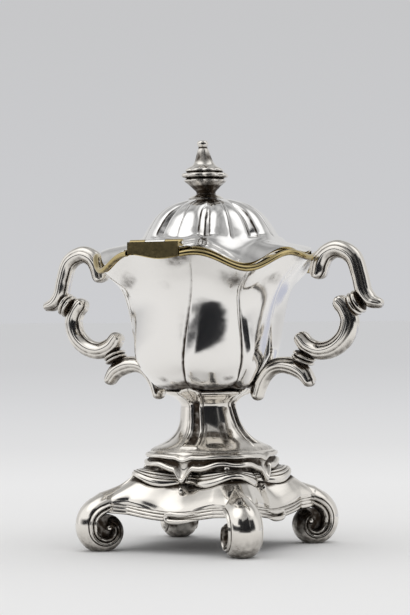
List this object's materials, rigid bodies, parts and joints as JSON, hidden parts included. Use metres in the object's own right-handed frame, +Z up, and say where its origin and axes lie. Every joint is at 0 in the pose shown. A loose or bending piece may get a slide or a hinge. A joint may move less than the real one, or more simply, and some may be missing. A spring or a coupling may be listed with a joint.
{
  "type": "mustard pot",
  "caption": "Lidded silver mustard pot: lobed tulip bowl with a wavy gilt rim, hinged fluted lid, scroll handles, fluted stem and draped plinth on volute feet.",
  "frame": {"origin": "on the table, under the pot's upright axis", "axes": "+Z up along the pot's axis, +X toward the right handle, -Y toward the lid's hinge"},
  "size_m": [0.1206, 0.0699, 0.1269],
  "materials": {
    "sheet_silver": "hand-raised sheet silver, softly polished, faint grey tarnish in the creases",
    "cast_silver": "cast and chased silver, bright on the high parts, dark oxide in the grooves",
    "gilt_edge": "worn gilding over silver",
    "plain_silver": "plain drawn and turned silver, satin"
  },
  "bodies": {
    "pot": {"bowl": "sheet_silver", "rim_wire": "gilt_edge", "hinge_plate": "gilt_edge", "hinge_pin": "plain_silver", "bowl_socket": "cast_silver", "stem": "cast_silver", "plinth_drape": "cast_silver", "plinth_step": "cast_silver", "base_shell": "cast_silver", "foot_front_right": "cast_silver", "foot_back_right": "cast_silver", "foot_back_left": "cast_silver", "foot_front_left": "cast_silver", "right_upper_scroll": "cast_silver", "right_upper_collar": "cast_silver", "right_c_scroll": "cast_silver", "right_lower_collar": "cast_silver", "right_bracket": "cast_silver", "left_upper_scroll": "cast_silver", "left_upper_collar": "cast_silver", "left_c_scroll": "cast_silver", "left_lower_collar": "cast_silver", "left_bracket": "cast_silver"},
    "lid": {"lid": "sheet_silver", "lid_leaf": "plain_silver", "finial": "cast_silver", "finial_washer": "plain_silver", "finial_nut": "plain_silver"}
  },
  "joints": [
    {"name": "lid_hinge", "type": "hinge", "parent": "pot", "child": "lid", "pos_m": [0, -0.0315, 0.09411], "axis": [1, 0, 0], "range_deg": [0, 105]}
  ]
}
